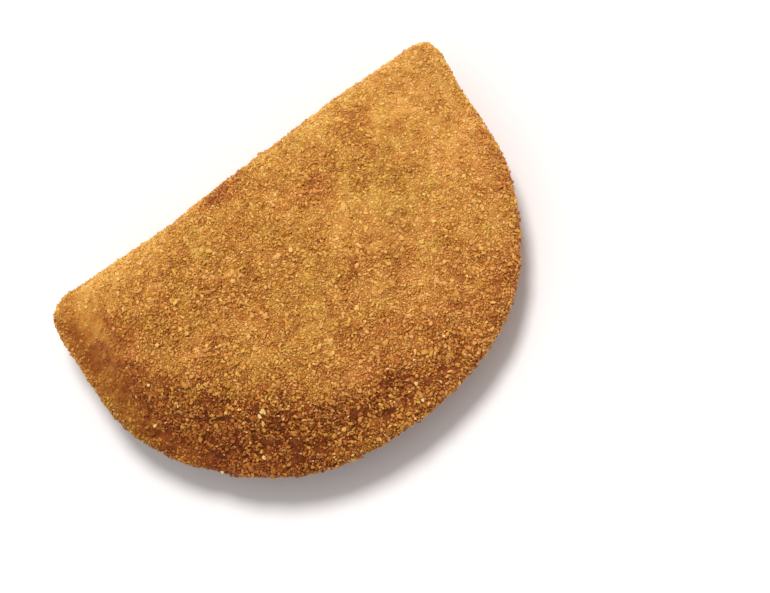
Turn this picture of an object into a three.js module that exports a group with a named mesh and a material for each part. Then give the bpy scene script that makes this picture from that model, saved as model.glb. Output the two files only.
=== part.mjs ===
// A rissole: a half-moon turnover of dough folded over a filling, sealed round its arc,
// coated in fine breadcrumbs and fried. It is one solid, lying flat on its underside.
//
// Millimetres, +Z up. The fold runs along X on the +Y side, the sealed arc faces -Y, and the
// origin lies on the resting plane under the middle of the bounding box.

import * as THREE from "three";

const { clamp, degToRad, euclideanModulo, radToDeg, seededRandom } = THREE.MathUtils;

// ---------------------------------------------------------------- driving dimensions
// Plan: a round cutter trims the folded dough, so the outline is a circle cut by the fold.
const CUTTER_RADIUS = 50;
const FOLD_OFFSET = 15.3; // from the cutter's centre to the fold
const CORNER_BLEND = 5; // width over which arc and fold run into each other
const MIDDLE_SETBACK = 32; // from the fold to the middle, where the rings of vertices close up

// Section: a thin sealed rim, a shoulder that climbs from it, and a rounded fold.
const RIM_THICKNESS = 4.6;
const RIM_WIDTH = 4;
const RIM_FILLET = 1.6; // softness of the bend where the shoulder leaves the rim
const SHOULDER_RUN = 24; // plan distance over which the shoulder climbs
const SHOULDER_POWER = 2.3; // higher is steeper at the rim
const CROWN_RISE = 8.8; // of the upper side, above the rim
const BELLY_DROP = 7.8; // of the underside, below the rim
const FOLD_SHARE = 0.5; // part of the rise that is already there at the fold
const FOLD_RUN = 26; // plan distance over which the rest of it comes
const PRESSED_DEPTH = 0.35; // how much of the underside is flattened by lying on it

// Unevenness of a filled piece that was folded by hand. Lumps are crossing waves of the two
// faces, rim waves run round the seam, and bulges push the outline out or in near a bearing,
// in degrees round the middle from +X.
const LUMPS = [
  { length: 43, towards: 25, phase: 0.6, height: 0.28 },
  { length: 29, towards: 104, phase: 2.1, height: 0.22 },
  { length: 19, towards: 158, phase: 4.4, height: 0.14 },
];
const UNDERSIDE_PHASE = 2.4;
const RIM_WAVES = [
  { turns: 3, phase: 0.5, lift: 0.5 },
  { turns: 8, phase: 1.9, lift: 0.22 },
];
const BULGES = [
  { bearing: 52, spread: 12, out: 1 },
  { bearing: 33, spread: 7, out: 1.3 },
  { bearing: 19, spread: 14, out: -2.2 },
  { bearing: -35, spread: 24, out: 2.8 },
  { bearing: -95, spread: 22, out: -0.8 },
  { bearing: -145, spread: 22, out: -0.6 },
  { bearing: 163, spread: 10, out: -1 },
  { bearing: 147, spread: 7, out: 0.8 },
  { bearing: 120, spread: 18, out: -1.1 },
];

// Crumb coat: every vertex is the tip of a crumb or lies in a gap between crumbs.
const VERTEX_SPACING = 1.63;
const CRUMB_HEIGHT = 0.75;
const CRUMB_SPARSENESS = 1.6; // above 1, fewer crumbs stand tall
const CRUMB_SHIFT = 0.35; // along the surface

const SEED = 4107;
const CRUST_COLOUR = 0xc08338;

seededRandom(SEED);
const spread = (amount) => amount * (2 * seededRandom() - 1);

// ---------------------------------------------------------------- plan outline
// The fold lies on y = 0 and the cutter's centre on the y axis below it.
const arcInset = (x, y) => CUTTER_RADIUS - Math.hypot(x, y + FOLD_OFFSET);
const foldInset = (x, y) => -y;

// Distance from a plan point to the outline, counted inwards. At the two corners the arc and
// the fold run into each other.
function inset(x, y) {
  const difference = Math.abs(arcInset(x, y) - foldInset(x, y));
  const blend = Math.max(0, 1 - difference / CORNER_BLEND);
  return Math.min(arcInset(x, y), foldInset(x, y)) - (blend ** 2 * CORNER_BLEND) / 4;
}

const REACH_TOLERANCE = 1e-6;

// Distance from the middle to the outline, along a direction.
function reachTo(direction) {
  let inside = 0;
  let outside = 2 * CUTTER_RADIUS;
  while (outside - inside > REACH_TOLERANCE) {
    const reach = (inside + outside) / 2;
    const isInside = inset(direction.x * reach, direction.y * reach - MIDDLE_SETBACK) > 0;
    if (isInside) inside = reach;
    else outside = reach;
  }
  return inside;
}

// ---------------------------------------------------------------- section
const softPositive = (value, softness) => softness * Math.log1p(Math.exp(value / softness));

// How far the dough has climbed from the rim, 0 to 1, by the distance from the arc.
function shoulder(x, y) {
  const climbed = softPositive(arcInset(x, y) - RIM_WIDTH, RIM_FILLET) / SHOULDER_RUN;
  return 1 - (1 - Math.min(climbed, 1)) ** SHOULDER_POWER;
}

// How far it has filled out behind the fold, FOLD_SHARE to 1.
function filled(x, y) {
  const share = clamp(foldInset(x, y) / FOLD_RUN, 0, 1);
  return 1 - (1 - FOLD_SHARE) * (1 - share) ** 2;
}

// ---------------------------------------------------------------- unevenness
const bearingOf = (x, y) => Math.atan2(y + MIDDLE_SETBACK, x);

function lumpHeight(x, y, face) {
  const wave = ({ length, towards, phase, height }) => {
    const along = x * Math.cos(degToRad(towards)) + y * Math.sin(degToRad(towards));
    return height * Math.sin((2 * Math.PI * along) / length + phase + face.lumpPhase);
  };
  return LUMPS.reduce((sum, lump) => sum + wave(lump), 0);
}

function rimLift(x, y) {
  const wave = ({ turns, phase, lift }) => lift * Math.sin(turns * bearingOf(x, y) + phase);
  return RIM_WAVES.reduce((sum, rimWave) => sum + wave(rimWave), 0);
}

// How far the outline stands out from the cutter's, fading towards the middle.
function bulgeOut(x, y) {
  const bearing = radToDeg(bearingOf(x, y));
  const bump = (bulge) => {
    const away = euclideanModulo(bearing - bulge.bearing + 180, 360) - 180;
    return bulge.out * Math.exp(-((away / bulge.spread) ** 2));
  };
  const fade = Math.hypot(x, y + MIDDLE_SETBACK) / CUTTER_RADIUS;
  return fade * BULGES.reduce((sum, bulge) => sum + bump(bulge), 0);
}

// Height of one face above the seam's middle plane: thin at the arc, round at the fold.
function faceHeight(x, y, face) {
  const climbed = shoulder(x, y);
  const edgeRadius = RIM_THICKNESS / 2 + face.rise * climbed * FOLD_SHARE;
  const fromEdge = clamp(inset(x, y) / edgeRadius, 0, 1);
  const roundness = Math.sqrt(1 - (1 - fromEdge) ** 2);
  const climb = climbed * (face.rise * filled(x, y) + lumpHeight(x, y, face));
  return (RIM_THICKNESS / 2 + climb) * roundness;
}

// The point of one face over a plan point, with all its unevenness.
function facePoint(x, y, face) {
  const bearing = bearingOf(x, y);
  const out = bulgeOut(x, y);
  const lift = (1 - shoulder(x, y)) * rimLift(x, y);
  return new THREE.Vector3(
    x + out * Math.cos(bearing),
    y + out * Math.sin(bearing),
    lift + face.sign * faceHeight(x, y, face),
  );
}

// ---------------------------------------------------------------- rings of vertices
const RAYS = 180;
const SAMPLES_ALONG_RAY = 150;
const FEWEST_IN_RING = 6;
const UPPER_FACE = { sign: 1, rise: CROWN_RISE, lumpPhase: 0 };
const UNDERSIDE = { sign: -1, rise: BELLY_DROP, lumpPhase: UNDERSIDE_PHASE };

// The section along one ray of a face, from the outline to the middle.
function raySection(angle, face) {
  const direction = new THREE.Vector2(Math.cos(angle), Math.sin(angle));
  const reach = reachTo(direction);
  return Array.from({ length: SAMPLES_ALONG_RAY + 1 }, (_, sample) => {
    const distance = reach * (1 - (sample / SAMPLES_ALONG_RAY) ** 2); // closest at the steep edge
    return facePoint(direction.x * distance, direction.y * distance - MIDDLE_SETBACK, face);
  });
}

// The point at a share of the length of a line of points.
function pointAlong(points, share) {
  const lengths = [0];
  for (let i = 1; i < points.length; i++) {
    lengths.push(lengths[i - 1] + points[i].distanceTo(points[i - 1]));
  }
  const wanted = share * lengths.at(-1);
  const next = Math.max(1, lengths.findIndex((length) => length >= wanted));
  const within = (wanted - lengths[next - 1]) / (lengths[next] - lengths[next - 1]);
  return points[next - 1].clone().lerp(points[next], within);
}

// Rings from the outline in to the middle, about one spacing apart and evenly filled.
function ringsOf(face) {
  const sections = Array.from({ length: RAYS }, (_, ray) =>
    raySection((2 * Math.PI * ray) / RAYS, face),
  );
  const meanReach = (CUTTER_RADIUS + MIDDLE_SETBACK + face.rise) / 2;
  const count = Math.round(meanReach / (VERTEX_SPACING * Math.sin(Math.PI / 3)));
  const rings = [];
  for (let ring = 0; ring < count; ring++) {
    const corners = sections.map((section) => pointAlong(section, ring / count));
    const loop = new THREE.CatmullRomCurve3(corners, true);
    const vertices = Math.max(FEWEST_IN_RING, Math.round(loop.getLength() / VERTEX_SPACING));
    rings.push(loop.getSpacedPoints(vertices).slice(0, vertices));
  }
  rings.push([sections[0].at(-1)]);
  return rings;
}

// ---------------------------------------------------------------- body mesh
// Fills the band between two closed rings of vertex numbers, along the shorter diagonals. The
// inner ring may be a single vertex.
function stitch(points, outer, inner, addTriangle) {
  const innerSteps = inner.length > 1 ? inner.length : 0;
  let i = 0;
  let j = 0;
  while (i < outer.length || j < innerSteps) {
    const [a, aNext] = [outer[i % outer.length], outer[(i + 1) % outer.length]];
    const [b, bNext] = [inner[j % inner.length], inner[(j + 1) % inner.length]];
    const outerIsNearer = points[aNext].distanceTo(points[b]) < points[a].distanceTo(points[bNext]);
    if (j === innerSteps || (i < outer.length && outerIsNearer)) {
      addTriangle(a, aNext, b);
      i += 1;
    } else {
      addTriangle(a, bNext, b);
      j += 1;
    }
  }
}

function smoothBody() {
  const points = [];
  const triangles = [];
  const addRing = (ring) => ring.map((point) => points.push(point) - 1);
  const addUpper = (a, b, c) => triangles.push(a, b, c);
  const addUnder = (a, b, c) => triangles.push(a, c, b);
  const upperRings = ringsOf(UPPER_FACE);
  const underRings = ringsOf(UNDERSIDE);
  const seam = addRing(upperRings[0]);
  for (const [rings, addTriangle] of [[upperRings, addUpper], [underRings, addUnder]]) {
    rings.slice(1).reduce((outer, ring) => {
      const inner = addRing(ring);
      stitch(points, outer, inner, addTriangle);
      return inner;
    }, seam);
  }
  const geometry = new THREE.BufferGeometry().setFromPoints(points);
  geometry.setIndex(triangles);
  geometry.computeVertexNormals();
  return geometry;
}

// ---------------------------------------------------------------- crumb coat
const pressedZ = PRESSED_DEPTH - RIM_THICKNESS / 2 - BELLY_DROP;

const vertexOf = (attribute, index) => new THREE.Vector3().fromBufferAttribute(attribute, index);

// Moves every vertex out by its crumb and a little sideways, and presses the base flat.
function crumbed(geometry) {
  const coated = geometry.clone();
  const position = coated.getAttribute("position");
  const normal = geometry.getAttribute("normal");
  for (let i = 0; i < position.count; i++) {
    const outwards = vertexOf(normal, i);
    const sideways = new THREE.Vector3(spread(1), spread(1), spread(1)).cross(outwards);
    const point = vertexOf(position, i)
      .addScaledVector(outwards, CRUMB_HEIGHT * seededRandom() ** CRUMB_SPARSENESS)
      .addScaledVector(sideways, CRUMB_SHIFT);
    position.setXYZ(i, point.x, point.y, Math.max(point.z, pressedZ));
  }
  coated.computeVertexNormals();
  coated.computeBoundingBox();
  return coated;
}

// ---------------------------------------------------------------- the part
function rissole() {
  const crust = new THREE.MeshStandardMaterial({
    color: CRUST_COLOUR,
    roughness: 0.62,
    metalness: 0,
    flatShading: true,
  });
  const mesh = new THREE.Mesh(crumbed(smoothBody()), crust);
  mesh.name = "rissole";
  const { min, max } = mesh.geometry.boundingBox;
  mesh.position.set(-(min.x + max.x) / 2, -(min.y + max.y) / 2, -min.z);
  return mesh;
}

const part = new THREE.Group();
part.add(rissole());

export default part;
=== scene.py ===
"""A fried rissole: a half-moon turnover of dough in a coat of fine breadcrumbs.

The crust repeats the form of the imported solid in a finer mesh, and crumbs of several sizes are
scattered over it as joined meshes. Form and crumbs are worked out in millimetres, +Z up: the form
with its fold on y = 0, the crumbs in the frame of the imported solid. Meshes are made in metres, and
the studio is measured in metres too.
"""

import math
from collections import defaultdict
from dataclasses import dataclass
from itertools import product
from types import SimpleNamespace

import bmesh
import bpy
import numpy as np
from mathutils import Matrix, Vector, noise


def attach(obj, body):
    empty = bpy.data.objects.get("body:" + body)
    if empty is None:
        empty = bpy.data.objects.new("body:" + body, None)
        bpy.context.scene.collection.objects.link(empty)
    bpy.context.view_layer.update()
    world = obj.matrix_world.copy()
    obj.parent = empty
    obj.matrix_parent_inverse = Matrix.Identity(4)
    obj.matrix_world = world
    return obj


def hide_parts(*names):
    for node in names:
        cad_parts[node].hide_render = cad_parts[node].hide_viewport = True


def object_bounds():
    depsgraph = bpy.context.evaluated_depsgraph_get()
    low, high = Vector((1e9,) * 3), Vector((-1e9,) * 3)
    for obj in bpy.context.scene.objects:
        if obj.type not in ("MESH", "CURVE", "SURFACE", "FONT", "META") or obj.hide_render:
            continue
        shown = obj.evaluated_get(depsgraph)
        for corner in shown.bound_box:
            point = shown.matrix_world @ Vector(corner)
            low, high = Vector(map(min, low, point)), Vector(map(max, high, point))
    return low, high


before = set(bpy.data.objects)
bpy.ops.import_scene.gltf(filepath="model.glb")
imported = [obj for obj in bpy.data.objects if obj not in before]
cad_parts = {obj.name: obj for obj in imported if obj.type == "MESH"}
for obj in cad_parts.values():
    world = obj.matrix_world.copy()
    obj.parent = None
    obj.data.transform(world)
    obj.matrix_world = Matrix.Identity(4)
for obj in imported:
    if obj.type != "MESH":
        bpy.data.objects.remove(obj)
cad_low, cad_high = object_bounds()

MM = 0.001
SEED = 4107
WHITE = (1, 1, 1, 1)

# ---------------------------------------------------------------- camera, light and floor
# Angles in degrees, lens and sensor in millimetres.
CAMERA_AZIMUTH = -25.71
CAMERA_ELEVATION = 70.0
CAMERA_ROLL = -59.65
CAMERA_TARGET = Vector((0.01274, -0.00793, 0.011))
CAMERA_DISTANCE = 0.7
CAMERA_LENS = 163.3
CAMERA_SENSOR = 36
CAMERA_CLIP = (0.01, 20)

WORLD_STRENGTH = 0.6
KEY_TOWARDS = Vector((0.26, 0.37, 0.89))  # from the object to the light
KEY_STRENGTH = 2.5
KEY_ANGLE = 19.0  # across, as seen from the object

FLOOR_RADIUS = 5.0
FLOOR_SEGMENTS = 64
FLOOR_PAPER = {"Base Color": (0.865, 0.832, 0.82, 1), "Roughness": 0.9, "Specular IOR Level": 0.1}
BACKDROP_RADIUS = 4.5
BACKDROP_SEGMENTS = 48
BACKDROP_RINGS = 24

# ---------------------------------------------------------------- form of the solid
CUTTER_RADIUS = 50
FOLD_OFFSET = 15.3  # from the cutter's centre to the fold
CORNER_BLEND = 5  # width over which arc and fold run into each other
MIDDLE_SETBACK = 32  # from the fold to the middle, where the rings of vertices close up
RIM_THICKNESS = 4.6
RIM_WIDTH = 4
RIM_FILLET = 1.6  # softness of the bend where the shoulder leaves the rim
SHOULDER_RUN = 24  # plan distance over which the shoulder climbs
SHOULDER_POWER = 2.3  # higher is steeper at the rim
CROWN_RISE = 8.8  # of the upper side, above the rim
BELLY_DROP = 7.8  # of the underside, below the rim
FOLD_SHARE = 0.5  # part of the rise that is already there at the fold
FOLD_RUN = 26  # plan distance over which the rest of it comes
PRESSED_DEPTH = 0.35  # how much of the underside is flattened by lying on it

# Length, direction in degrees, phase and height of the waves that make the faces lumpy.
LUMPS = [(43, 25, 0.6, 0.28), (29, 104, 2.1, 0.22), (19, 158, 4.4, 0.14)]
UNDERSIDE_PHASE = 2.4
# Turns, phase and lift of the waves that run round the seam.
RIM_WAVES = [(3, 0.5, 0.5), (8, 1.9, 0.22)]
# Bearing and spread in degrees and reach of the bulges of the outline, hollows where negative.
BULGES = [
    (52, 12, 1),
    (33, 7, 1.3),
    (19, 14, -2.2),
    (-35, 24, 2.8),
    (-95, 22, -0.8),
    (-145, 22, -0.6),
    (163, 10, -1),
    (147, 7, 0.8),
    (120, 18, -1.1),
]

UPPER_FACE = SimpleNamespace(sign=1, rise=CROWN_RISE, lump_phase=0)
UNDERSIDE = SimpleNamespace(sign=-1, rise=BELLY_DROP, lump_phase=UNDERSIDE_PHASE)

# ---------------------------------------------------------------- crust
BISECTIONS = 40  # steps in which the outline is found along a ray
VERTEX_SPACING = 0.4
RAYS = 360
SAMPLES_ALONG_RAY = 300
FEWEST_IN_RING = 6


@dataclass
class Rise:
    """A share that grows from the least to 1 while a value climbs from its start by a run."""

    start: float
    run: float
    least: float = 0

    def at(self, values):
        return np.clip((values - self.start) / self.run, self.least, 1)


# Size and height of the bumps of the crust itself, under its crumbs. They are lower near the arc.
CRUST_BUMPS = [(3.4, 0.12), (1.7, 0.26), (0.95, 0.22)]
BUMPS_FROM_ARC = Rise(start=0, run=6, least=0.3)
CRUST_SINK = 0.08  # how far it lies below the form, to leave room for the crumbs
# Pits, where their noise is high and the crust brown.
PIT_SIZE = 3.2
PIT_DEPTH = 0.3
PITS_BY_NOISE = Rise(start=0.12, run=1 / 6)
PITS_BY_BROWNING = Rise(start=0.45, run=0.25)

# ---------------------------------------------------------------- crumbs


@dataclass
class CrumbKind:
    """Crumbs of one size. A pair is the least and the most that one of them may have."""

    count: int
    radii: tuple
    toasted: tuple  # how much of the colour of its place it takes on
    thickness: tuple = (0.6, 1.0)  # half its height, in radii
    tilt: float = 50  # degrees that it may lean
    apart: float = 0.6  # least distance to another crumb, as a share of their radii together
    banded: float = 0  # how much commoner they are where the crust is browner
    detail: int = 0  # 0 for an octahedron, 1 for an icosahedron, 2 for one split once


CRUMB_KINDS = {
    "crumb_flakes": CrumbKind(
        count=240,
        radii=(0.45, 0.7),
        toasted=(0.1, 1.0),
        thickness=(0.4, 0.7),
        tilt=30,
        apart=0.9,
        banded=4,
        detail=2,
    ),
    "large_crumbs": CrumbKind(
        count=4200,
        radii=(0.36, 0.55),
        toasted=(0.0, 1.0),
        tilt=45,
        apart=0.74,
        banded=4,
        detail=1,
    ),
    "medium_crumbs": CrumbKind(
        count=9700,
        radii=(0.28, 0.39),
        toasted=(0.1, 1.0),
        apart=0.67,
        banded=1,
        detail=1,
    ),
    "fine_crumbs": CrumbKind(count=13000, radii=(0.26, 0.36), toasted=(0.2, 1.1)),
    "small_crumbs": CrumbKind(count=18000, radii=(0.18, 0.27), toasted=(0.5, 1.1)),
    "crumb_dust": CrumbKind(count=14000, radii=(0.12, 0.19), toasted=(0.7, 1.1), tilt=60),
}
TRIES_PER_CRUMB = 5
SMALLNESS = 1.5  # above 1, most crumbs of a kind are nearer to its smallest radius
# Half the length and half the width of a crumb, in radii.
CRUMB_LENGTHS = (0.95, 1.45)
CRUMB_WIDTHS = (0.6, 1.0)
# How far the corners of a crumb may be off: in or out, and along each axis.
UNEVENNESS = 0.4
RAGGEDNESS = 0.22
LEAN_SPREAD = 0.6  # of the tilt, along each axis

# How high the middle of a crumb lies over the crust, as a share of half its height. It lies lower
# where the crust is pale or smooth.
CRUMB_RAISED = (-0.1, 0.9)
LOOSE_BY_BROWNING = Rise(start=0.12, run=0.22, least=0.3)
SMOOTH_SINKING = 0.8

# How densely crumbs lie: about 1, more in clusters, and less in pits and on the underside.
CLUSTER_SIZE = 1.9
CLUSTERING = 2.2
CLUSTERING_BY_BROWNING = Rise(start=0.4, run=0.2, least=0.3)
CLUSTER_COVER = (0.15, 2)
PIT_BARENESS = 0.85
UNDERSIDE_COVER = 0.6
UNDERSIDE_SLOPE = -0.2  # upward part of the normal, below which crust counts as underside
RIM_COVER = 1.1  # the least on the rim, where there are few behind it
BARE_HEIGHT = 0.4  # below which the crust is bare, so that it can rest
BANDED_BROWNING = 0.36  # where a banded kind is as common as the others
BANDED_COVER = (0.4, 2)
# Places with few, sunken crumbs: x, y, radius along X, radius along Y, share of crumbs missing.
SMOOTH_PLACES = [
    (-42, 21, 8, 12, 1.0),
    (-44, 1, 8, 13, 0.7),
    (-37, -16, 9, 7, 0.6),
    (-25, -26, 8, 4, 0.6),
    (-4.3, 29.5, 6, 3, 0.5),
    (35, 20, 11, 9, 0.45),
    (21, 0, 7, 6, 0.35),
]
MOST_SMOOTH = 0.9

# ---------------------------------------------------------------- browned tone, painted light and tint
# Darker band along the arc, partly browned crust and partly painted shade where the shoulder turns
# away from the light: bearing in degrees, strength, its inner edge and the softness of that edge, as
# distances from the arc, and how much darker the rim is on top of that, which is painted shade on
# the rim at bearings -30 to 15 and, where negative, painted light on a paler rim lip.
BAND = [
    (-180, 0.39, 14.5, 14, -0.1),
    (-165, 0.41, 17, 14, -0.1),
    (-150, 0.48, 15.5, 10, -0.1),
    (-135, 0.44, 15, 10, -0.1),
    (-120, 0.45, 12, 6, -0.12),
    (-105, 0.43, 12, 7, -0.14),
    (-90, 0.41, 10.5, 6, -0.12),
    (-75, 0.37, 9.5, 5, -0.1),
    (-60, 0.24, 5.5, 5, -0.05),
    (-45, 0.11, 4.5, 4, 0.02),
    (-30, 0.05, 3, 3, 0.09),
    (-15, 0.02, 1.2, 1.2, 0.12),
    (0, 0.02, 1.2, 1.2, 0.11),
    (15, 0.02, 1.2, 1.2, 0.05),
    (30, 0.02, 1, 1.2, 0),
    (150, 0.06, 6, 5, -0.05),
    (165, 0.26, 12.5, 7, -0.1),
    (180, 0.39, 14.5, 14, -0.1),
]
RIM_RUN = 1.5  # how fast that fades inwards
# Browned spots: x, y, radius along X, radius along Y, strength. Negative ones stay pale; the pale
# spots at the sides, at (-47, 4), (36, -8) and (38, 22), are painted light that sets how bright the
# left and right slopes look under the key light.
SPOTS_AND_PAINTED_LIGHT = [
    (-4.3, 29.0, 7, 3.2, 0.5),
    (-5, 24.5, 5, 3.5, 0.08),
    (12.5, 16, 4, 3, 0.2),
    (-16, 9, 17, 9, 0.16),
    (-39.7, 15.6, 7, 7, 0.2),
    (-43, 27, 6, 6, 0.06),
    (38, 22, 9, 8, -0.1),
    (36, -8, 8, 10, -0.05),
    (-35, 27.4, 9, 5, -0.12),
    (29.5, -16.9, 9, 9, 0.05),
    (20, 1, 16, 13, -0.07),
    (-46, 25, 3, 7, 0.14),
    (-10, -8, 16, 10, 0.09),
    (-37, -4, 6, 7, 0.09),
    (-29, -19, 7, 6, 0.08),
    (-42, 23, 7, 8, 0.02),
    (-47, 4, 6, 12, -0.14),
]
BASE_BROWNING = 0.28
FOLD_PALENESS = 0.12
FOLD_PALE_RUN = 7
# Size and strength of the uneven patches all over.
BROWNING_PATCHES = [(16.0, 0.12), (6.0, 0.15), (2.6, 0.15), (1.3, 0.14)]
UNDERSIDE_BROWNING = 0.14
UPWARDS = Rise(start=-0.25, run=0.25)  # by the upward part of the normal
# How much browner the crust is than its crumbs, everywhere and in the gaps between them, where
# crumbs cover it; the extra in the gaps is partly browner dough and partly painted shade between the
# crumbs.
BARE_BROWNING = 0.07
GAP_BROWNING_AND_PAINTED_SHADE = 0.17
GRAIN_SIZE = 0.9  # of the crust, while a crumb has one value of grain all over
# A crumb is between the palest and the colour of its place, by a random share.
PALE_CRUMB = 0.17
CREAM_GLINT_SHARE = 0.015  # of the crumbs where it is brownest, which are almost white: partly pale crumbs, partly painted glints
CREAM_GLINTS_BY_BROWNING = Rise(start=0.24, run=0.4, least=0.1)
CREAM_GLINT_TINT = (1.06, 1.22, 1.7)
# Places that lean to red, or to yellow where negative: x, y, radius along X, radius along Y, lean.
REDNESS = [
    (44, 8, 9, 26, 0.01),
    (-37, 9, 5, 10, 0.025),
    (-46, 5, 6, 13, -0.07),
    (22, -20, 17, 9, 0.04),
    (-5, -20, 24, 9, 0.02),
    (-6, 10, 20, 9, -0.01),
    (20, 29, 22, 6, -0.012),
    (-4.3, 29, 8, 4.5, 0.04),
    (12.5, 16, 4.5, 3.5, 0.045),
]
BASE_REDNESS = -0.005
# Size and strength of uneven patches of the same kind.
REDNESS_PATCHES = [(14.0, 0.025), (4.5, 0.03), (1.8, 0.02)]
CRUMB_REDNESS = 0.014  # spread from crumb to crumb
BLUE_WITH_RED = 2  # how fast blue grows with redness
BARE_BLUENESS = 0.8  # of crust without crumbs
CRUMB_BLUENESS = 0.12  # spread from crumb to crumb

# Where each pattern is read in the noise, so that no two are alike.
BUMP_OFFSET = 1
PIT_OFFSET = 11.9
CLUSTER_OFFSET = 8.3
BROWNING_OFFSET = 1
REDNESS_OFFSET = -3.1
GRAIN_OFFSET = 5.7

# ---------------------------------------------------------------- looks
# Fried crumb, from pale gold to burnt, as linear colours by how browned it is, a value that also
# carries painted light and shade.
FRIED_COLOURS = [
    (0.0, (0.84, 0.485, 0.14)),
    (0.2, (0.66, 0.32, 0.063)),
    (0.4, (0.49, 0.19, 0.035)),
    (0.6, (0.355, 0.1, 0.016)),
    (0.8, (0.215, 0.041, 0.0055)),
    (1.0, (0.11, 0.015, 0.002)),
]
FRIED_SURFACE = {
    "Specular IOR Level": 0.4,
    "Specular Tint": (1, 0.75, 0.42, 1),
    "Subsurface Weight": 0.2,
    "Subsurface Radius": (1.0, 0.4, 0.1),
    "Subsurface Scale": 1 * MM,
}
# How far grain and speckles change the value of browned tone and painted light, what is added to it,
# the depth of the pores and the roughness where it is dry.
CRUST_LOOK = SimpleNamespace(grain=0.2, speckles=0.2, added=0, pores=0.2, roughness=0.5)
CRUMB_LOOK = SimpleNamespace(grain=0.26, speckles=0.09, added=-0.01, pores=0.08, roughness=0.6)
# Noises of the shader, with their scale per metre.
SPECKLES = {"Scale": 900, "Detail": 3}
PORES = {"Scale": 2600, "Detail": 2}
PORE_STRENGTH = 0.6
# Values of the grain between which the surface goes from dry to oily.
OILY_FROM = 0.6
OILY_TO = 0.87
OILY_ROUGHNESS = 0.18


# ---------------------------------------------------------------- plan outline
def arc_inset(x, y):
    return CUTTER_RADIUS - np.hypot(x, y + FOLD_OFFSET)


def inset(x, y):
    """Distance from a plan point to the outline, counted inwards, with blended corners."""
    arc, fold = arc_inset(x, y), -y
    blend = np.maximum(0, 1 - np.abs(arc - fold) / CORNER_BLEND)
    return np.minimum(arc, fold) - blend**2 * CORNER_BLEND / 4


def reach_to(direction):
    """Distance from the middle to the outline along each direction, by bisection."""
    inside = np.zeros(len(direction))
    outside = np.full(len(direction), 2.0 * CUTTER_RADIUS)
    for _ in range(BISECTIONS):
        reach = (inside + outside) / 2
        is_inside = inset(direction[:, 0] * reach, direction[:, 1] * reach - MIDDLE_SETBACK) > 0
        inside = np.where(is_inside, reach, inside)
        outside = np.where(is_inside, outside, reach)
    return inside


# ---------------------------------------------------------------- section
def shoulder(x, y):
    """How far the dough has climbed from the rim, 0 to 1."""
    past_rim = (arc_inset(x, y) - RIM_WIDTH) / RIM_FILLET
    climbed = RIM_FILLET * np.log1p(np.exp(past_rim)) / SHOULDER_RUN
    return 1 - (1 - np.minimum(climbed, 1)) ** SHOULDER_POWER


def filled(y):
    """How far it has filled out behind the fold, FOLD_SHARE to 1."""
    return 1 - (1 - FOLD_SHARE) * (1 - np.clip(-y / FOLD_RUN, 0, 1)) ** 2


def bearing_of(x, y):
    return np.arctan2(y + MIDDLE_SETBACK, x)


def lump_height(x, y, face):
    total = 0
    for length, towards, phase, height in LUMPS:
        along = x * math.cos(math.radians(towards)) + y * math.sin(math.radians(towards))
        total = total + height * np.sin(2 * math.pi * along / length + phase + face.lump_phase)
    return total


def rim_lift(x, y):
    return sum(lift * np.sin(turns * bearing_of(x, y) + phase) for turns, phase, lift in RIM_WAVES)


def degrees_apart(a, b):
    return (a - b + 180) % 360 - 180


def bulge_out(x, y):
    """How far a plan point moves away from the middle."""
    bearing = np.degrees(bearing_of(x, y))
    fade = np.hypot(x, y + MIDDLE_SETBACK) / CUTTER_RADIUS
    return fade * sum(
        out * np.exp(-((degrees_apart(bearing, at) / spread) ** 2)) for at, spread, out in BULGES
    )


def face_height(x, y, face):
    """Height of one face above the seam's middle plane: thin at the arc, round at the fold."""
    climbed = shoulder(x, y)
    edge_radius = RIM_THICKNESS / 2 + face.rise * climbed * FOLD_SHARE
    from_edge = np.clip(inset(x, y) / edge_radius, 0, 1)
    roundness = np.sqrt(1 - (1 - from_edge) ** 2)
    climb = climbed * (face.rise * filled(y) + lump_height(x, y, face))
    return (RIM_THICKNESS / 2 + climb) * roundness


def face_points(x, y, face):
    bearing, out = bearing_of(x, y), bulge_out(x, y)
    lift = (1 - shoulder(x, y)) * rim_lift(x, y)
    z = lift + face.sign * face_height(x, y, face)
    return np.stack([x + out * np.cos(bearing), y + out * np.sin(bearing), z], axis=-1)


# ---------------------------------------------------------------- mesh of the form
def ray_sections(face):
    """One line of points per ray, from the outline to the middle, closest at the steep edge."""
    angle = 2 * math.pi * np.arange(RAYS) / RAYS
    direction = np.stack([np.cos(angle), np.sin(angle)], axis=1)
    share = 1 - (np.arange(SAMPLES_ALONG_RAY + 1) / SAMPLES_ALONG_RAY) ** 2
    distance = reach_to(direction)[:, None] * share
    x = direction[:, :1] * distance
    y = direction[:, 1:] * distance - MIDDLE_SETBACK
    return face_points(x, y, face)


def lengths_along(line):
    steps = np.linalg.norm(np.diff(line, axis=0), axis=1)
    return np.concatenate([[0], np.cumsum(steps)])


def points_along(line, lengths, wanted):
    return np.stack([np.interp(wanted, lengths, line[:, axis]) for axis in range(3)], axis=-1)


def rings_of(face):
    """Rings of evenly spaced points from the outline in to the middle."""
    mean_reach = (CUTTER_RADIUS + MIDDLE_SETBACK + face.rise) / 2
    count = round(mean_reach / (VERTEX_SPACING * math.sin(math.pi / 3)))
    shares = np.arange(count) / count
    sections = ray_sections(face)
    lines = []
    for section in sections:
        lengths = lengths_along(section)
        lines.append(points_along(section, lengths, shares * lengths[-1]))
    rings = []
    for loop in np.stack(lines, axis=1):
        closed = np.concatenate([loop, loop[:1]])
        lengths = lengths_along(closed)
        vertices = max(FEWEST_IN_RING, round(lengths[-1] / VERTEX_SPACING))
        wanted = np.arange(vertices) / vertices * lengths[-1]
        rings.append(points_along(closed, lengths, wanted))
    rings.append(sections[0, -1:])
    return rings


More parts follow.
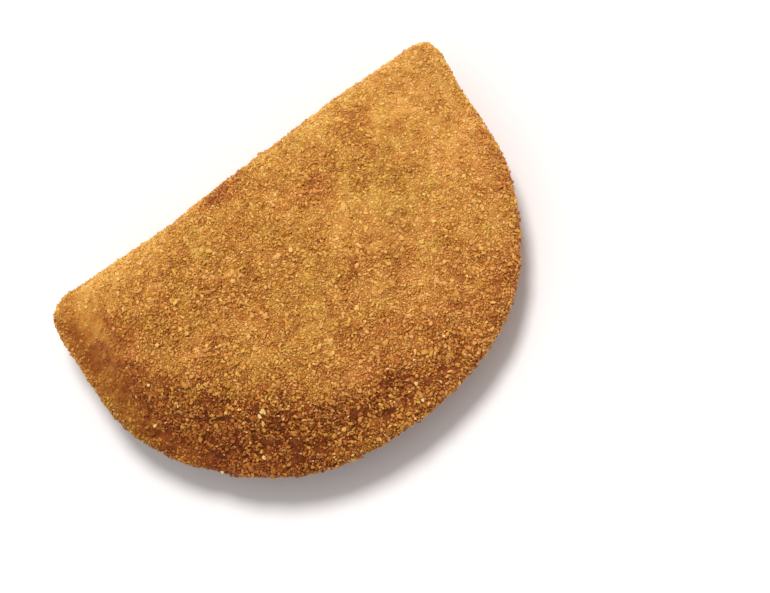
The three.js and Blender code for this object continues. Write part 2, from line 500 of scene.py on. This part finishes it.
def stitch(points, outer, inner, add_triangle):
    """Fills the band between two closed rings of vertex numbers, along the shorter diagonals."""
    inner_steps = len(inner) if len(inner) > 1 else 0
    i = j = 0
    while i < len(outer) or j < inner_steps:
        a, a_next = outer[i % len(outer)], outer[(i + 1) % len(outer)]
        b, b_next = inner[j % len(inner)], inner[(j + 1) % len(inner)]
        by_outer = math.dist(points[a_next], points[b])
        by_inner = math.dist(points[a], points[b_next])
        if j == inner_steps or (i < len(outer) and by_outer < by_inner):
            add_triangle(a, a_next, b)
            i += 1
        else:
            add_triangle(a, b_next, b)
            j += 1


def smooth_form():
    """Points and triangles of the whole form, without crumbs."""
    points, triangles = [], []

    def add_ring(ring):
        first = len(points)
        points.extend(map(tuple, ring.tolist()))
        return list(range(first, len(points)))

    def add_upper(a, b, c):
        triangles.append((a, b, c))

    def add_under(a, b, c):
        triangles.append((a, c, b))

    upper_rings, under_rings = rings_of(UPPER_FACE), rings_of(UNDERSIDE)
    seam = add_ring(upper_rings[0])
    for rings, add_triangle in ((upper_rings, add_upper), (under_rings, add_under)):
        outer = seam
        for ring in rings[1:]:
            inner = add_ring(ring)
            stitch(points, outer, inner, add_triangle)
            outer = inner
    return np.array(points), np.array(triangles)


def vertex_normals(points, triangles):
    corners = points[triangles]
    across = np.cross(corners[:, 1] - corners[:, 0], corners[:, 2] - corners[:, 0])
    normals = np.zeros_like(points)
    for corner in range(3):
        np.add.at(normals, triangles[:, corner], across)
    return normals / np.linalg.norm(normals, axis=1, keepdims=True)


# ---------------------------------------------------------------- patterns on the crust
def noise_at(points, size, offset):
    """Smooth noise, about -1 to 1, with features of a size in millimetres."""
    return np.array([noise.noise(p) for p in (points / size + offset).tolist()])


def layered_noise(points, layers, offset):
    """Sum of noises of several sizes and strengths, each read at the offset times its size."""
    return sum(strength * noise_at(points, size, offset * size) for size, strength in layers)


def amounts_at(points, places):
    """Sum of the amounts of oval places, each of which fades out from its middle."""
    total = np.zeros(len(points))
    for at_x, at_y, along, across, amount in places:
        away = ((points[:, 0] - at_x) / along) ** 2 + ((points[:, 1] - at_y) / across) ** 2
        total += amount * np.exp(-away)
    return total


def smoothness_at(points):
    """Share of the crumbs that is missing at each point."""
    return np.minimum(amounts_at(points, SMOOTH_PLACES), MOST_SMOOTH)


def redness_at(points):
    patches = layered_noise(points, REDNESS_PATCHES, REDNESS_OFFSET)
    return BASE_REDNESS + amounts_at(points, REDNESS) + patches


def rim_nearness(x, form_y):
    """1 on the rim of the arc, fading inwards."""
    from_outline = arc_inset(x, form_y) + bulge_out(x, form_y)
    return np.exp(-((from_outline / RIM_RUN) ** 2))


def band_browning_and_painted_shade(x, form_y):
    """What the band along the arc and the line on its rim add: browned crust with painted shade
    where the shoulder turns away from the light, painted shade on the rim at bearings -30 to 15, and
    painted light on a paler rim lip where the rim value is negative.
    """
    bearings, *columns = np.array(BAND).T
    bearing = np.degrees(bearing_of(x, form_y))
    strength, edge, softness, rim = (np.interp(bearing, bearings, column) for column in columns)
    inside = np.clip((arc_inset(x, form_y) - edge) / softness + 0.5, 0, 1)
    faded = inside**2 * (3 - 2 * inside)
    return strength * (1 - faded) + rim * rim_nearness(x, form_y)


def browning_and_painted_light(points, normals, fold_y):
    """How browned the crust is at each point, 0 to 1, with the fold at fold_y, with painted shade
    from the band and its rim and painted light from the pale side spots mixed in.
    """
    form_y = points[:, 1] - fold_y
    upwards = UPWARDS.at(normals[:, 2])
    # The band adds browned crust and painted shade, and painted light on a paler rim lip.
    total = BASE_BROWNING + band_browning_and_painted_shade(points[:, 0], form_y)
    total -= FOLD_PALENESS * np.exp(-((form_y / FOLD_PALE_RUN) ** 2))
    # The spots are browned, and the pale ones at the sides are painted light.
    total += upwards * amounts_at(points, SPOTS_AND_PAINTED_LIGHT) + (1 - upwards) * UNDERSIDE_BROWNING
    total += layered_noise(points, BROWNING_PATCHES, BROWNING_OFFSET)
    return np.clip(total, 0, 1)


def tint_of(redness, blueness):
    """Factors on a colour: redder, or yellower below 0, and bluer above 1."""
    blue = blueness * np.exp(BLUE_WITH_RED * redness)
    return np.stack([1 + redness, 1 - redness, blue, np.ones_like(redness)], axis=1)


def pits_at(points, brown_and_painted_light):
    in_noise = PITS_BY_NOISE.at(noise_at(points, PIT_SIZE, PIT_OFFSET))
    return in_noise * PITS_BY_BROWNING.at(brown_and_painted_light)


# ---------------------------------------------------------------- the form, placed
def pressed(points):
    """Flattens what would reach below the resting plane."""
    placed = points.copy()
    placed[:, 2] = np.maximum(placed[:, 2], 0)
    return placed


def offset_to_frame(points):
    """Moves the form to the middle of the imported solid, down on the resting plane."""
    cad_middle = (np.array(cad_low) + np.array(cad_high)) / 2 / MM
    offset = cad_middle - (points.min(axis=0) + points.max(axis=0)) / 2
    offset[2] = RIM_THICKNESS / 2 + BELLY_DROP - PRESSED_DEPTH
    return offset


def crust_surface(points, normals, pits, fold_y):
    """The form with the bumps and pits of the crust under its crumbs."""
    from_arc = arc_inset(points[:, 0], points[:, 1] - fold_y)
    bumps = layered_noise(points, CRUST_BUMPS, BUMP_OFFSET) * BUMPS_FROM_ARC.at(from_arc)
    return pressed(points + normals * (bumps - CRUST_SINK - PIT_DEPTH * pits)[:, None])


def crumb_cover(points, normals, brown_and_painted_light, thinned, fold_y):
    """How densely crumbs lie at each point. Pits and smooth places have thinned them out."""
    clustering = CLUSTERING * CLUSTERING_BY_BROWNING.at(brown_and_painted_light)
    uneven = 1 + clustering * noise_at(points, CLUSTER_SIZE, CLUSTER_OFFSET)
    facing = np.where(normals[:, 2] > UNDERSIDE_SLOPE, 1, UNDERSIDE_COVER)
    cover = facing * thinned * np.clip(uneven, *CLUSTER_COVER)
    on_rim = RIM_COVER * rim_nearness(points[:, 0], points[:, 1] - fold_y)
    cover = np.maximum(cover, on_rim)
    cover[points[:, 2] < BARE_HEIGHT] = 0
    return cover


def placed_form():
    """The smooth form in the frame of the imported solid, with what the crumbs need to know."""
    points, triangles = smooth_form()
    normals = vertex_normals(points, triangles)
    offset = offset_to_frame(points)
    points = points + offset
    fold_y = offset[1]
    brown_and_painted_light = browning_and_painted_light(points, normals, fold_y)
    pits = pits_at(points, brown_and_painted_light)
    unsmoothed = 1 - smoothness_at(points)
    thinned = (1 - PIT_BARENESS * pits) * unsmoothed
    return SimpleNamespace(
        points=points,
        surface=crust_surface(points, normals, pits, fold_y),
        triangles=triangles,
        normals=normals,
        cover=crumb_cover(points, normals, brown_and_painted_light, thinned, fold_y),
        fold_y=fold_y,
        browning_and_painted_light=brown_and_painted_light,
        redness=redness_at(points),
        crumbed=(1 - pits) * unsmoothed,
    )


# ---------------------------------------------------------------- crumb shapes
def octahedron():
    points = [(1, 0, 0), (-1, 0, 0), (0, 1, 0), (0, -1, 0), (0, 0, 1), (0, 0, -1)]
    upper = [(0, 2, 4), (2, 1, 4), (1, 3, 4), (3, 0, 4)]
    lower = [(2, 0, 5), (1, 2, 5), (3, 1, 5), (0, 3, 5)]
    return np.array(points, float), np.array(upper + lower)


def icosphere(subdivisions):
    ball = bmesh.new()
    bmesh.ops.create_icosphere(ball, subdivisions=subdivisions, radius=1)
    ball.verts.index_update()
    points = np.array([vertex.co for vertex in ball.verts])
    triangles = np.array([[vertex.index for vertex in face.verts] for face in ball.faces])
    ball.free()
    return points, triangles


def unit_crumb(detail):
    """Points and triangles of a round crumb."""
    return icosphere(detail) if detail > 0 else octahedron()


def rough_shapes(unit, count, rng):
    """The unit crumb with its corners moved, another way for each crumb."""
    shapes = unit[None] * (1 + rng.uniform(-UNEVENNESS, UNEVENNESS, (count, len(unit), 1)))
    return shapes + rng.uniform(-RAGGEDNESS, RAGGEDNESS, shapes.shape)


def rotations(normals, tilt, rng):
    """One turned frame per crumb: its Z near the normal, its X anywhere round it."""
    count = len(normals)
    spread = rng.uniform(-LEAN_SPREAD, LEAN_SPREAD, (count, 3))
    leaning = normals + math.tan(math.radians(tilt)) * spread
    z = leaning / np.linalg.norm(leaning, axis=1, keepdims=True)
    x = np.cross(z, rng.normal(size=(count, 3)))
    x /= np.linalg.norm(x, axis=1, keepdims=True)
    return np.stack([x, np.cross(z, x), z], axis=1)


# ---------------------------------------------------------------- crumb places
class Crowd:
    """Remembers where crumbs lie, so that a new one keeps its distance."""

    CELL = 2.0  # more than the distance that any two crumbs keep

    def __init__(self):
        self.cells = defaultdict(list)

    def cell_of(self, place):
        return tuple(math.floor(value / self.CELL) for value in place)

    def has_room(self, place, radius, apart):
        around = ((at - 1, at, at + 1) for at in self.cell_of(place))
        for cell in product(*around):
            for other, other_radius in self.cells.get(cell, ()):
                if math.dist(place, other) < apart * (radius + other_radius):
                    return False
        return True

    def add(self, place, radius):
        self.cells[self.cell_of(place)].append((place, radius))


def surface_samples(form, weights, count, rng):
    """Random places on the crust, with the normals of the form there."""
    corners = form.surface[form.triangles]
    across = np.cross(corners[:, 1] - corners[:, 0], corners[:, 2] - corners[:, 0])
    share = np.linalg.norm(across, axis=1) * weights[form.triangles].mean(axis=1)
    picked = rng.choice(len(corners), size=count, p=share / share.sum())
    u, v = rng.random(count), rng.random(count)
    flip = u + v > 1
    u, v = np.where(flip, 1 - u, u), np.where(flip, 1 - v, v)
    mix = np.stack([1 - u - v, u, v], axis=1)[:, :, None]
    places = (corners[picked] * mix).sum(axis=1)
    directions = (form.normals[form.triangles[picked]] * mix).sum(axis=1)
    return places, directions / np.linalg.norm(directions, axis=1, keepdims=True)


def chosen_places(kind, form, crowd, rng):
    """Places, normals and radii of the crumbs of one kind that have room."""
    tries = kind.count * TRIES_PER_CRUMB
    banded = np.clip(1 + kind.banded * (form.browning_and_painted_light - BANDED_BROWNING), *BANDED_COVER)
    places, normals = surface_samples(form, form.cover * banded, tries, rng)
    smallest, largest = kind.radii
    radii = smallest + (largest - smallest) * rng.random(tries) ** SMALLNESS
    chosen = []
    for number, (place, radius) in enumerate(zip(places.tolist(), radii.tolist())):
        if len(chosen) == kind.count:
            break
        if crowd.has_room(place, radius, kind.apart):
            crowd.add(place, radius)
            chosen.append(number)
    return places[chosen], normals[chosen], radii[chosen]


def crumb_looks(kind, places, crust_brown_and_painted_light, smoothness, rng):
    """Browned tone, with painted light and shade in it, grain and tint of each crumb."""
    count = len(places)
    toasted = rng.uniform(*kind.toasted, count)
    toasted += (1 - toasted) * smoothness
    brown_and_painted_light = PALE_CRUMB + (crust_brown_and_painted_light - PALE_CRUMB) * toasted
    redness = redness_at(places) + rng.normal(0, CRUMB_REDNESS, count)
    tint = tint_of(redness, np.exp(rng.normal(0, CRUMB_BLUENESS, count)))
    # A few crumbs are almost white: partly pale crumbs, partly painted glints.
    cream_glints = rng.random(count) < CREAM_GLINT_SHARE * CREAM_GLINTS_BY_BROWNING.at(crust_brown_and_painted_light)
    brown_and_painted_light[cream_glints] = 0
    tint[cream_glints, :3] = CREAM_GLINT_TINT
    return {"browning_and_painted_light": brown_and_painted_light, "grain": rng.random(count), "tint": tint}


# ---------------------------------------------------------------- meshes in the scene
def mesh_object(name, points_mm, triangles, material, smooth, attributes):
    mesh = bpy.data.meshes.new(name)
    mesh.vertices.add(len(points_mm))
    mesh.vertices.foreach_set("co", (points_mm * MM).astype(np.float32).ravel())
    mesh.loops.add(triangles.size)
    mesh.loops.foreach_set("vertex_index", triangles.astype(np.int32).ravel())
    mesh.polygons.add(len(triangles))
    mesh.polygons.foreach_set("loop_start", np.arange(0, triangles.size, 3, dtype=np.int32))
    mesh.polygons.foreach_set("use_smooth", np.full(len(triangles), smooth))
    for attribute, values in attributes.items():
        is_colour = values.ndim == 2
        layer = mesh.attributes.new(attribute, "FLOAT_COLOR" if is_colour else "FLOAT", "POINT")
        layer.data.foreach_set("color" if is_colour else "value", values.astype(np.float32).ravel())
    mesh.materials.append(material)
    mesh.update(calc_edges=True)
    mesh.validate()
    piece = bpy.data.objects.new(name, mesh)
    bpy.context.scene.collection.objects.link(piece)
    return piece


# ---------------------------------------------------------------- materials
def set_inputs(tree, owner, inputs):
    """Gives inputs of a node their values, or links them to outputs of other nodes."""
    for key, value in inputs.items():
        if isinstance(value, bpy.types.NodeSocket):
            tree.links.new(value, owner.inputs[key])
        else:
            owner.inputs[key].default_value = value


def node(tree, kind, inputs, **settings):
    made = tree.nodes.new(kind)
    for name, value in settings.items():
        setattr(made, name, value)
    set_inputs(tree, made, inputs)
    return made


def new_material(name):
    material = bpy.data.materials.new(name)
    material.use_nodes = True
    return material, material.node_tree


def mesh_value(tree, name, output="Fac"):
    return node(tree, "ShaderNodeAttribute", {}, attribute_name=name).outputs[output]


def arithmetic(tree, operation, first, second):
    return node(tree, "ShaderNodeMath", {0: first, 1: second}, operation=operation).outputs[0]


def centred(tree, value, share):
    """A value of 0 to 1, moved to lie about 0, times a share."""
    return arithmetic(tree, "MULTIPLY", arithmetic(tree, "SUBTRACT", value, 0.5), share)


def shader_noise(tree, inputs):
    place = node(tree, "ShaderNodeTexCoord", {}).outputs["Object"]
    return node(tree, "ShaderNodeTexNoise", {"Vector": place, **inputs}).outputs["Fac"]


def fried_ramp(tree, brown_and_painted_light):
    """Colour by browned tone and painted light. A new ramp already has its first and last stop."""
    ramp = node(tree, "ShaderNodeValToRGB", {"Fac": brown_and_painted_light})
    stops = ramp.color_ramp.elements
    for position, _ in FRIED_COLOURS[1:-1]:
        stops.new(position)
    for stop, (_, colour) in zip(stops, FRIED_COLOURS):
        stop.color = (*colour, 1)
    return ramp.outputs["Color"]


def fried_colour(tree, look):
    """Colour by browned tone and painted light, changed by grain and speckles, times the tint."""
    brown_and_painted_light = mesh_value(tree, "browning_and_painted_light")
    grain = centred(tree, mesh_value(tree, "grain"), look.grain)
    speckles = centred(tree, shader_noise(tree, SPECKLES), look.speckles)
    for added in (grain, speckles, look.added):
        brown_and_painted_light = arithmetic(tree, "ADD", brown_and_painted_light, added)
    factors = {0: fried_ramp(tree, brown_and_painted_light), 1: mesh_value(tree, "tint", "Color")}
    return node(tree, "ShaderNodeVectorMath", factors, operation="MULTIPLY").outputs["Vector"]


def oily_roughness(tree, look):
    """Dry for most values of the grain, and oily for the highest."""
    inputs = {
        "Value": mesh_value(tree, "grain"),
        "From Min": OILY_FROM,
        "From Max": OILY_TO,
        "To Min": look.roughness,
        "To Max": OILY_ROUGHNESS,
    }
    return node(tree, "ShaderNodeMapRange", inputs).outputs["Result"]


def porous_normal(tree, look):
    inputs = {
        "Strength": PORE_STRENGTH,
        "Distance": look.pores * MM,
        "Height": shader_noise(tree, PORES),
    }
    return node(tree, "ShaderNodeBump", inputs).outputs["Normal"]


def fried_material(name, look):
    """Fried crust or crumbs, which differ in their look values alone."""
    material, tree = new_material(name)
    inputs = {
        "Base Color": fried_colour(tree, look),
        "Roughness": oily_roughness(tree, look),
        "Normal": porous_normal(tree, look),
        **FRIED_SURFACE,
    }
    set_inputs(tree, tree.nodes["Principled BSDF"], inputs)
    return material


def floor_material():
    material, tree = new_material("floor_paper")
    set_inputs(tree, tree.nodes["Principled BSDF"], FLOOR_PAPER)
    return material


def backdrop_material():
    material, tree = new_material("backdrop_paper")
    glow = node(tree, "ShaderNodeEmission", {"Color": WHITE})
    set_inputs(tree, tree.nodes["Material Output"], {"Surface": glow.outputs["Emission"]})
    return material


# ---------------------------------------------------------------- pieces
def dress(piece):
    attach(piece, "root")


def make_crust(form):
    """The dough and the fused part of its coat."""
    blueness = BARE_BLUENESS + (1 - BARE_BLUENESS) * form.crumbed
    attributes = {
        # Darker where crumbs cover the crust, in the gaps between them: partly browner dough, partly
        # painted shade.
        "browning_and_painted_light": form.browning_and_painted_light + BARE_BROWNING + GAP_BROWNING_AND_PAINTED_SHADE * form.crumbed,
        "grain": (1 + noise_at(form.points, GRAIN_SIZE, GRAIN_OFFSET)) / 2,
        "tint": tint_of(form.redness, blueness),
    }
    material = fried_material("fried_crust", CRUST_LOOK)
    crust = mesh_object("crust_body", form.surface, form.triangles, material, True, attributes)
    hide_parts("rissole")
    dress(crust)


def make_crumbs(name, kind, form, crowd, rng):
    """All crumbs of one kind, as one mesh."""
    places, normals, radii = chosen_places(kind, form, crowd, rng)
    count = len(radii)
    unit, facets = unit_crumb(kind.detail)
    spans = (CRUMB_LENGTHS, CRUMB_WIDTHS, kind.thickness)
    sizes = np.stack([radii * rng.uniform(*span, count) for span in spans], axis=1)
    shapes = rough_shapes(unit, count, rng) * sizes[:, None]
    turned = np.einsum("cvi,cij->cvj", shapes, rotations(normals, kind.tilt, rng))
    brown_and_painted_light = browning_and_painted_light(places, normals, form.fold_y)
    smoothness = smoothness_at(places)
    looseness = LOOSE_BY_BROWNING.at(brown_and_painted_light) * (1 - SMOOTH_SINKING * smoothness)
    raised = sizes[:, 2] * rng.uniform(*CRUMB_RAISED, count) * looseness
    centres = places + normals * raised[:, None]
    points = pressed((turned + centres[:, None]).reshape(-1, 3))
    first_points = np.arange(count) * len(unit)
    triangles = (facets + first_points[:, None, None]).reshape(-1, 3)
    looks = crumb_looks(kind, places, brown_and_painted_light, smoothness, rng)
    attributes = {look: np.repeat(values, len(unit), axis=0) for look, values in looks.items()}
    material = fried_material(name, CRUMB_LOOK)
    dress(mesh_object(name, points, triangles, material, False, attributes))


def make_rissole():
    rng = np.random.default_rng(SEED)
    form = placed_form()
    make_crust(form)
    crowd = Crowd()
    for name, kind in CRUMB_KINDS.items():
        make_crumbs(name, kind, form, crowd, rng)


# ---------------------------------------------------------------- studio
def make_camera():
    azimuth, elevation, roll = map(math.radians, (CAMERA_AZIMUTH, CAMERA_ELEVATION, CAMERA_ROLL))
    back = Vector(
        (
            -math.sin(azimuth) * math.cos(elevation),
            -math.cos(azimuth) * math.cos(elevation),
            math.sin(elevation),
        )
    )
    level = Vector((math.cos(azimuth), -math.sin(azimuth), 0))
    upright = back.cross(level)
    right = math.cos(roll) * level + math.sin(roll) * upright
    up = back.cross(right)
    camera = bpy.data.objects.new("camera", bpy.data.cameras.new("camera"))
    camera.data.lens = CAMERA_LENS
    camera.data.sensor_width = CAMERA_SENSOR
    camera.data.clip_start, camera.data.clip_end = CAMERA_CLIP
    turn = Matrix((right, up, back)).transposed().to_4x4()
    camera.matrix_world = Matrix.Translation(CAMERA_TARGET + back * CAMERA_DISTANCE) @ turn
    bpy.context.scene.collection.objects.link(camera)
    bpy.context.scene.camera = camera


def make_light():
    lamp = bpy.data.lights.new("key", "SUN")
    lamp.energy = KEY_STRENGTH
    lamp.angle = math.radians(KEY_ANGLE)
    light = bpy.data.objects.new("key", lamp)
    light.rotation_euler = KEY_TOWARDS.to_track_quat("Z", "Y").to_euler()
    bpy.context.scene.collection.objects.link(light)


def make_world():
    world = bpy.data.worlds.new("studio")
    world.use_nodes = True
    tree = world.node_tree
    set_inputs(tree, tree.nodes["Background"], {"Color": WHITE, "Strength": WORLD_STRENGTH})
    bpy.context.scene.world = world


def stage_object(name, shape, material):
    mesh = bpy.data.meshes.new(name)
    shape.to_mesh(mesh)
    shape.free()
    mesh.materials.append(material)
    stage = bpy.data.objects.new(name, mesh)
    bpy.context.scene.collection.objects.link(stage)
    return stage


def make_floor():
    disc = bmesh.new()
    bmesh.ops.create_circle(disc, cap_ends=True, segments=FLOOR_SEGMENTS, radius=FLOOR_RADIUS)
    stage_object("floor", disc, floor_material())


def make_backdrop():
    """A white dome round the floor, which only the camera sees."""
    dome = bmesh.new()
    bmesh.ops.create_uvsphere(
        dome, u_segments=BACKDROP_SEGMENTS, v_segments=BACKDROP_RINGS, radius=BACKDROP_RADIUS
    )
    backdrop = stage_object("backdrop", dome, backdrop_material())
    backdrop.visible_diffuse = False
    backdrop.visible_glossy = False
    backdrop.visible_transmission = False
    backdrop.visible_shadow = False


make_camera()
make_light()
make_world()
make_floor()
make_backdrop()
make_rissole()
bpy.context.scene.view_settings.view_transform = "Standard"
